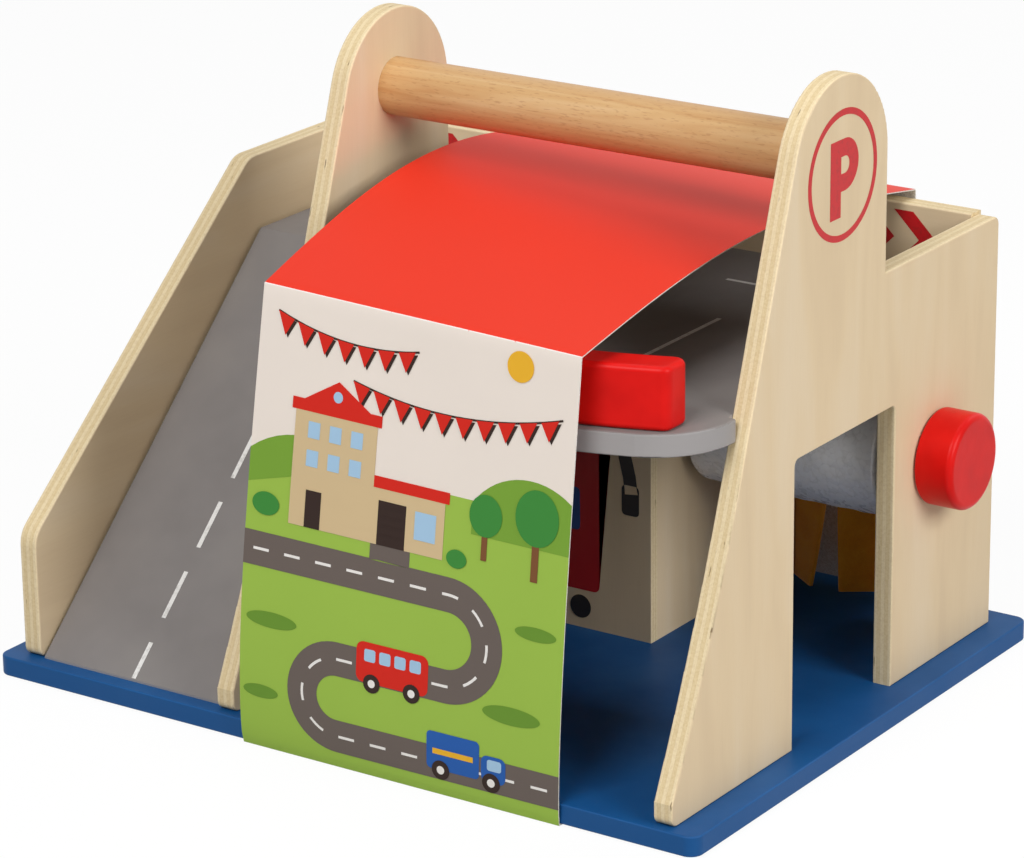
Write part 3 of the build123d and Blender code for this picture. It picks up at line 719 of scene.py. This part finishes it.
def ribbon(path, half_width):
    """An outline of even width round a path."""
    left, right = [], []
    for i, (x, y) in enumerate(path):
        x0, y0 = path[max(i - 1, 0)]
        x1, y1 = path[min(i + 1, len(path) - 1)]
        length = math.hypot(x1 - x0, y1 - y0)
        across_x, across_y = -(y1 - y0) / length * half_width, (x1 - x0) / length * half_width
        left.append((x + across_x, y + across_y))
        right.append((x - across_x, y - across_y))
    return left + right[::-1]


def stretch(path, start, end):
    """The part of a path between two distances along it."""
    walked, part = 0.0, []
    for (x0, y0), (x1, y1) in zip(path, path[1:]):
        length = math.hypot(x1 - x0, y1 - y0)
        low, high = max(start - walked, 0.0), min(end - walked, length)
        if low < high:
            for distance in (low, high):
                point = (between(x0, x1, distance / length), between(y0, y1, distance / length))
                if not part or math.dist(part[-1], point) > 0.01:
                    part.append(point)
        walked += length
    return part


def path_length(path):
    return sum(math.dist(a, b) for a, b in zip(path, path[1:]))


def dashes(path, length, pitch, half_width, first):
    total = path_length(path)
    count = int((total - first - length) / pitch) + 1
    return [ribbon(stretch(path, first + i * pitch, first + i * pitch + length), half_width) for i in range(count)]


def pennants(start, end, sag, count, size, shift=(0.0, 0.0)):
    """A row of triangular flags below a sagging line."""
    flags = []
    for i in range(count):
        corners = []
        for share in (i / count, (i + 0.82) / count):
            drop = 4 * sag * share * (1 - share)
            corners.append((between(start[0], end[0], share), between(start[1], end[1], share) - drop))
        (x0, y0), (x1, y1) = corners
        tip = ((x0 + x1) / 2, (y0 + y1) / 2 - size)
        flags.append([(x + shift[0], y + shift[1]) for x, y in ((x0, y0), tip, (x1, y1))])
    return flags


def flag_line(start, end, sag):
    shares = [i / 20 for i in range(21)]
    points = [
        (between(start[0], end[0], t), between(start[1], end[1], t) - 4 * sag * t * (1 - t)) for t in shares
    ]
    return ribbon(points, 0.45)


def wheels(x, y, base, radius):
    return [ring(x, y, radius, points=20), ring(x + base, y, radius, points=20)]


def picture_layers():
    """Ink, layer and outlines of all that is printed on the front of the card."""
    road = road_centre()
    upper, lower = ((9, 192), (82, 188), 5.0), ((50, 170), (154, 174), 7.0)
    hill = arc_points(141, 112, 34, 145, 55) + [(PICTURE_WIDTH, 139.8), (PICTURE_WIDTH, 118), (113.2, 118)]
    windows = [block(x, y, x + 6, y + 7) for x in (29, 40, 51) for y in (130, 142)]
    bus_x, bus_y = 60.0, 43.0
    truck_x, truck_y = 96.0, 9.0
    bus_windows = [rounded(x, bus_y + 9.5, x + 5.6, bus_y + 15, 1) for x in [bus_x + 4 + 7.6 * i for i in range(4)]]
    return [
        ("moss", 1, [hill, [(0, 118)] + arc_points(28, 96, 46, 127.5, 53)]),
        ("asphalt", 2, [ribbon(road, ROAD_HALF), block(64, 97, 84, 104)]),
        ("shade", 2, [ring(16, 60, 13, 3.5), ring(137, 44, 14, 4), ring(11, 27, 9, 3), ring(147, 82, 10, 3)]),
        ("white", 3, dashes(road, 8.0, 16.0, 0.6, 5.0)),
        ("sand", 3, [block(22, 104, 100, 128), block(22, 128, 64, 153)]),
        ("red", 4, [
            block(20, 153, 66, 158), block(64, 128, 102, 133), [(26, 158), (43, 168), (60, 158)],
            rounded(bus_x, bus_y, bus_x + 36, bus_y + 18, 3.5),
            *pennants(*upper, 7, 8.5), *pennants(*lower, 10, 8.5),
        ]),
        ("ink", 3, [
            *pennants(*upper, 7, 8.5, (1.2, -0.9)), *pennants(*lower, 10, 8.5, (1.2, -0.9)),
            flag_line(*upper), flag_line(*lower),
        ]),
        ("ink", 4, [block(67, 104, 81, 123), block(30, 104, 38, 120)]),
        ("sky", 5, windows + bus_windows + [ring(43, 161.5, 2.4, points=20), block(85.5, 110, 96, 122)]),
        ("blue", 4, [
            rounded(truck_x, truck_y + 3, truck_x + 26, truck_y + 20, 2),
            rounded(truck_x + 27, truck_y + 3, truck_x + 39, truck_y + 15, 3),
        ]),
        ("sky", 6, [rounded(truck_x + 30, truck_y + 8.5, truck_x + 37, truck_y + 13.5, 1.2)]),
        ("ink", 6, [
            *wheels(bus_x + 8, bus_y, 20, 4.2), *wheels(truck_x + 7, truck_y + 3, 25, 4.4),
            *[block(68.5, y, 79.5, y + 0.7) for y in (108, 112, 116, 120)],
        ]),
        ("white", 7, [*wheels(bus_x + 8, bus_y, 20, 1.8), *wheels(truck_x + 7, truck_y + 3, 25, 1.9)]),
        ("yellow", 5, [ring(132, 192, 6.5), block(truck_x + 3, truck_y + 10, truck_x + 23, truck_y + 12.5)]),
        ("bark", 4, [block(118.6, 108, 121.4, 122), block(143, 104, 146.4, 122)]),
        ("leaf", 5, [
            ring(120, 127, 8, 9), ring(144.7, 131, 10.5, 12), ring(10, 110, 7, 5), ring(107, 106, 5, 4),
        ]),
    ]


def print_picture():
    inks = {name: printed_card(name + "_ink_on_card", colour) for name, colour in INKS.items()}
    for ink, layer, rings in picture_layers():
        print_shapes("card_print_" + ink + "_" + str(layer), rings, inks[ink], on_front, layer, True)


# ---- paint on the boards
SIGN_RING = Vector((0, -8.6 * MM, 249.3 * MM))      # centre of the round sign on the right tower
SIGN_RADII = (27.7, 24.9)       # mm, outside and inside of its ring
LINE_HALF = 1.1                 # mm, half the width of a painted line
RAMP_DASH = 23.4
RAMP_DASH_PITCH = 35.7
RAMP_FIRST_DASH = 30.9          # mm up the slope from the ramp's toe
TOE_DASH = (0.5, 18.5)
BAY_LINES_X = (18.45, 88.85)    # between the parking bays on the deck
BAY_LINE_ENDS = (-104.0, 26.4)
LANE_Y = 76.4                   # middle of the lane behind the bays
LANE_DASH = 15.0
LANE_DASH_PITCH = 36.0
LANE_FIRST_DASH = -118.25
ARROW_TIPS = (-101.0, -27.0, 7.5, 29.25, 51.0, 121.75, 143.5)
ARROW_HEIGHT = 184.0


def paint_boards():
    """Screen-printed road lines, arrows, a parking sign and a petrol pump on the wood."""
    white = screen_paint("white_screen_paint", "#E9E7E4", "#C9C6C2")
    red = screen_paint("red_screen_paint", "#C4141A", "#B01A1C")

    run = ramp_high.y - ramp_low.y
    rise = deck_high.z - base_high.z - 1.0 * MM
    slope = math.hypot(run, rise) / MM
    ramp_middle = ((ramp_low.x + ramp_high.x) / 2, ramp_low.y, base_high.z + 1.0 * MM)
    starts = [RAMP_FIRST_DASH + RAMP_DASH_PITCH * i for i in range(6)]
    lines = [block(-LINE_HALF, low, LINE_HALF, min(low + RAMP_DASH, slope - 1)) for low in starts]
    lines.append(block(-LINE_HALF, TOE_DASH[0], LINE_HALF, TOE_DASH[1]))
    on_ramp = on_plane(ramp_middle, (1, 0, 0), (0, run, rise))
    print_shapes("ramp_dashes", lines, white, on_ramp)

    on_deck = on_plane((0, 0, deck_high.z), (1, 0, 0), (0, 1, 0))
    near, far = BAY_LINE_ENDS
    lines = [block(x - LINE_HALF, near, x + LINE_HALF, far) for x in BAY_LINES_X]
    starts = [LANE_FIRST_DASH + LANE_DASH_PITCH * i for i in range(7)]
    lines += [block(x, LANE_Y - LINE_HALF, x + LANE_DASH, LANE_Y + LINE_HALF) for x in starts]
    print_shapes("deck_lines", lines, white, on_deck)

    on_wall = on_plane((0, back_low.y, ARROW_HEIGHT * MM), (1, 0, 0), (0, 0, 1))
    arrows = [arrow(tip) for tip in ARROW_TIPS]
    print_shapes("wall_arrows", arrows, red, on_wall)

    on_tower = on_plane((right_high.x, SIGN_RING.y, SIGN_RING.z), (0, 1, 0), (0, 0, 1))
    letter = [(-10.0, -17.5), (-1.5, -17.5), (-1.5, -6.8)] + arc_points(1.5, 4.2, 11.0, -90, 90) + [(-10.0, 15.2)]
    counter = [(-1.5, 0.6)] + arc_points(1.5, 4.2, 3.6, -90, 90) + [(-1.5, 7.8)]
    sign = [ring(0, 0, radius, points=96) for radius in SIGN_RADII] + [letter, counter]
    print_shapes("parking_sign", sign, red, on_tower)

    on_kiosk = on_plane((kiosk_low.x, kiosk_low.y, kiosk_low.z), (1, 0, 0), (0, 0, 1))
    for ink, colour, layer, rings in pump_layers():
        pump_paint = screen_paint(ink + "_pump_paint", colour, colour)
        print_shapes("pump_" + ink, rings, pump_paint, on_kiosk, layer)


def arrow(tip):
    """A chevron that points to the right."""
    half, band = 12.5, 9.5
    return [
        (tip, 0), (tip - half, half), (tip - half - band, half), (tip - band, 0),
        (tip - half - band, -half), (tip - half, -half),
    ]


def pump_layers():
    """A plain petrol pump with its hose, on the kiosk's front: mm from its left foot."""
    hose = ribbon(arc_points(84, 98, 7.5, 150, 15) + [(93, 88), (96, 76), (97, 68)], 3.4)
    return [
        ("red", "#B8141A", 1, [rounded(30, 18, 80, 132, 3), block(24, 126, 90, 136)]),
        ("blue", "#1E4C90", 2, [rounded(38, 46, 70, 66, 2)]),
        ("orange", "#D98A2A", 2, [rounded(42, 80, 66, 96, 2)]),
        ("dark", "#221C1A", 3, [
            hose, rounded(92, 58, 101, 72, 2), ring(70, 10, 5.5), ring(40, 10, 5.5), rounded(40, 100, 68, 108, 2),
        ]),
    ]


# ---- foam roller
FOAM_SIDES = 128
FOAM_LENGTHS = 36
SHAFT_HOLE = 5.1 * MM


def make_foam_roller():
    """A sleeve cut from a bar of white packing foam, its outside a skin of flattened bubbles."""
    centre = (foam_low + foam_high) / 2
    radius = (foam_high.z - foam_low.z) / 2
    length = foam_high.x - foam_low.x
    deselect_all()
    bpy.ops.mesh.primitive_cylinder_add(
        vertices=FOAM_SIDES, radius=radius - 0.5 * MM, depth=length, location=centre,
        rotation=(0, math.pi / 2, 0), end_fill_type="NGON",
    )
    roller = bpy.context.object
    roller.name = "white_foam_roller"
    apply_place(roller)
    mesh = edit(roller, "FACE")
    select_where(mesh, mesh.faces, lambda face: abs(face.normal.x) > 0.9)
    bpy.ops.mesh.inset(thickness=2.0 * MM)
    bpy.ops.mesh.inset(thickness=radius - SHAFT_HOLE - 2.5 * MM)
    bpy.ops.mesh.bridge_edge_loops()
    mesh = edit(roller, "EDGE")
    select_where(mesh, mesh.edges, lambda edge: edge_at_rim(edge, centre, radius - 0.5 * MM))
    bpy.ops.mesh.bevel(offset=1.4 * MM, segments=4, affect="EDGES")
    step = length / FOAM_LENGTHS
    for i in range(1, FOAM_LENGTHS):
        select_all()
        bpy.ops.mesh.bisect(plane_co=(foam_low.x + i * step, 0, 0), plane_no=(1, 0, 0))
    select_all()
    bpy.ops.mesh.normals_make_consistent(inside=False)
    leave_edit(roller)
    outside = roller.vertex_groups.new(name="outside")
    outer = [
        v.index for v in roller.data.vertices
        if math.hypot(v.co.y - centre.y, v.co.z - centre.z) > radius - 3 * MM
    ]
    outside.add(outer, 1.0, "REPLACE")
    bubbles = bpy.data.textures.new("foam_bubbles", "CLOUDS")
    bubbles.noise_scale = 9 * MM
    swell = roller.modifiers.new("swell", "DISPLACE")
    swell.texture = bubbles
    swell.texture_coords = "LOCAL"
    swell.vertex_group = "outside"
    swell.strength = 1.1 * MM
    swell.mid_level = 0.5
    apply_modifiers(roller)
    paint(roller, expanded_foam("white_polyethylene_foam"))
    smooth(roller, 60)
    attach(roller, "wash_roller")
    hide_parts("foam_roller")


def edge_at_rim(edge, centre, radius):
    """Whether an edge runs round the outer rim of either end."""
    return all(
        abs(math.hypot(v.co.y - centre.y, v.co.z - centre.z) - radius) < 0.1 * MM for v in edge.verts
    ) and abs(edge.verts[0].co.x - edge.verts[1].co.x) < 0.1 * MM


# ---- felt curtain
FELT = 2.0 * MM
# how far the foot of each strip hangs to the right, how far it is turned about its length, and how
# far it curls to the front, which keeps a turned strip off the card band when it swings back
STRIP_LEANS = (0.0, -4.5, 4.5, 2.5, 0.5)
STRIP_TURNS = (-16.0, -36.0, 34.0, 24.0, -14.0)
STRIP_CURLS = (0.0, 3.6, 3.4, 1.8, 0.0)


def break_cut_edge(obj):
    rim = obj.modifiers.new("cut_edge", "BEVEL")
    rim.width = 0.4 * MM
    rim.segments = 2
    rim.limit_method = "ANGLE"
    apply_modifiers(obj)


def make_felt_strip(name, body, lean, turn, curl):
    low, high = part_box(name)
    deselect_all()
    bpy.ops.mesh.primitive_grid_add(x_subdivisions=6, y_subdivisions=24, size=1.0)
    strip = bpy.context.object
    strip.name = "cut_" + name
    mesh = edit(strip)
    middle = (low + high) / 2
    for vertex in mesh.verts:
        across = vertex.co.x * (high.x - low.x)
        fall = 0.5 - vertex.co.y
        angle = math.radians(turn) * fall ** 1.6
        vertex.co = (
            middle.x + lean * MM * fall ** 1.3 + across * math.cos(angle),
            middle.y + across * math.sin(angle) + (0.6 * math.sin(4.0 * fall + turn) - curl * fall ** 2.5) * MM,
            between(high.z, low.z, fall),
        )
    bmesh.update_edit_mesh(strip.data)
    leave_edit(strip)
    wall = strip.modifiers.new("felt", "SOLIDIFY")
    wall.thickness = FELT
    wall.offset = 0
    break_cut_edge(strip)
    smooth(strip, 40)
    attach(strip, body)
    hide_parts(name)
    return strip


def make_felt_band():
    low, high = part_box("felt_band")
    deselect_all()
    bpy.ops.mesh.primitive_cube_add(size=1.0, location=(low + high) / 2)
    band = bpy.context.object
    band.name = "uncut_felt_band"
    band.scale = high - low
    apply_place(band)
    break_cut_edge(band)
    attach(band, "garage")
    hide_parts("felt_band")
    return band


def make_felt_curtain():
    felt = pressed_felt("yellow_pressed_felt")
    band = make_felt_band()
    paint(band, felt)
    for index, (lean, turn, curl) in enumerate(zip(STRIP_LEANS, STRIP_TURNS, STRIP_CURLS), start=1):
        strip = make_felt_strip("felt_strip_" + str(index), "strip_" + str(index), lean, turn, curl)
        paint(strip, felt)


# ---- camera, light and floor
CAMERA_PLACE = Vector((1.0158, -1.48523, 0.73217))
CAMERA_AZIMUTH = 34.396
CAMERA_ELEVATION = 19.161
CAMERA_ROLL = -0.701
CAMERA_LENS = 153.33
SENSOR_WIDTH = 36.0
SURROUND_STRENGTH = 0.12        # of the light that the white room gives
FLOOR_WHITE = 0.93              # how much of the floor is seen as plain white


def make_camera():
    azimuth = math.radians(CAMERA_AZIMUTH)
    elevation = math.radians(CAMERA_ELEVATION)
    back = Vector((
        math.sin(azimuth) * math.cos(elevation), -math.cos(azimuth) * math.cos(elevation), math.sin(elevation),
    ))
    data = bpy.data.cameras.new("photo_camera")
    data.lens = CAMERA_LENS
    data.sensor_width = SENSOR_WIDTH
    camera = bpy.data.objects.new("photo_camera", data)
    bpy.context.scene.collection.objects.link(camera)
    roll = Euler((0, 0, math.radians(CAMERA_ROLL))).to_quaternion()
    camera.rotation_mode = "QUATERNION"
    camera.rotation_quaternion = back.to_track_quat("Z", "Y") @ roll
    camera.location = CAMERA_PLACE
    bpy.context.scene.camera = camera


def softbox(name, place, aim, size, power):
    data = bpy.data.lights.new(name, "AREA")
    data.shape = "RECTANGLE"
    data.size, data.size_y = size
    data.energy = power
    light = bpy.data.objects.new(name, data)
    bpy.context.scene.collection.objects.link(light)
    light.location = place
    light.rotation_mode = "QUATERNION"
    light.rotation_quaternion = (Vector(place) - Vector(aim)).to_track_quat("Z", "Y")


def seen_directly(tree):
    """1 for rays that come from the camera, a reflection or clear material, and 0 for the others."""
    path = add(tree, "ShaderNodeLightPath")
    seen = add(tree, "ShaderNodeMath", {
        0: path.outputs["Is Camera Ray"], 1: path.outputs["Is Glossy Ray"],
    }, operation="MAXIMUM")
    seen = add(tree, "ShaderNodeMath", {
        0: seen.outputs[0], 1: path.outputs["Is Transmission Ray"],
    }, operation="MAXIMUM")
    return seen.outputs[0]


def white_for(tree, surface, share):
    """Mix a surface with plain white where it is seen directly."""
    factor = add(tree, "ShaderNodeMath", {0: seen_directly(tree), 1: share}, operation="MULTIPLY")
    white = add(tree, "ShaderNodeEmission", {"Color": (1, 1, 1, 1), "Strength": 1.0})
    return add(tree, "ShaderNodeMixShader", {0: factor.outputs[0], 1: surface, 2: white.outputs[0]})


def make_studio():
    """A pale floor, a white surround and four soft lamps."""
    deselect_all()
    bpy.ops.mesh.primitive_plane_add(size=12.0, location=(0, 0, -0.3 * MM))
    floor = bpy.context.object
    floor.name = "studio_floor"
    material, tree, shader, _ = new_material("white_paper_floor")
    paper = add(tree, "ShaderNodeMix", {
        "Factor": seen_directly(tree), COLOUR_A: linear("#B0B0B0"), COLOUR_B: linear("#FFFFFF"),
    }, data_type="RGBA")
    tree.links.new(paper.outputs[MIXED], shader.inputs["Base Color"])
    shader.inputs["Roughness"].default_value = 0.9
    mixed = white_for(tree, shader.outputs[0], FLOOR_WHITE)
    output = next(n for n in tree.nodes if n.type == "OUTPUT_MATERIAL")
    tree.links.new(mixed.outputs[0], output.inputs["Surface"])
    paint(floor, material)

    world = bpy.data.worlds.new("studio_surround")
    bpy.context.scene.world = world
    world.use_nodes = True
    tree = world.node_tree
    tree.nodes.clear()
    strength = add(tree, "ShaderNodeMapRange", {
        0: seen_directly(tree), "From Min": 0.0, "From Max": 1.0, "To Min": SURROUND_STRENGTH, "To Max": 1.0,
    })
    surround = add(tree, "ShaderNodeBackground", {"Color": (1, 1, 1, 1), "Strength": strength.outputs[0]})
    add(tree, "ShaderNodeOutputWorld", {"Surface": surround.outputs[0]})

    softbox("key_softbox", (0.12, -1.88, 1.95), (0.0, -0.05, 0.1), (1.3, 1.2), 43.0)
    softbox("right_softbox", (2.08, -0.38, 1.2), (0.1, 0.0, 0.12), (1.1, 1.0), 31.0)
    softbox("top_softbox", (0.0, 0.35, 2.5), (0.0, 0.0, 0.1), (1.6, 1.6), 12.0)
    softbox("rear_softbox", (0.8, 2.0, 1.6), (0.0, 0.0, 0.1), (1.3, 1.1), 8.0)


dress_boards()
make_card_band()
print_picture()
paint_boards()
make_foam_roller()
make_felt_curtain()
make_camera()
make_studio()

scene = bpy.context.scene
scene.view_settings.view_transform = "Standard"
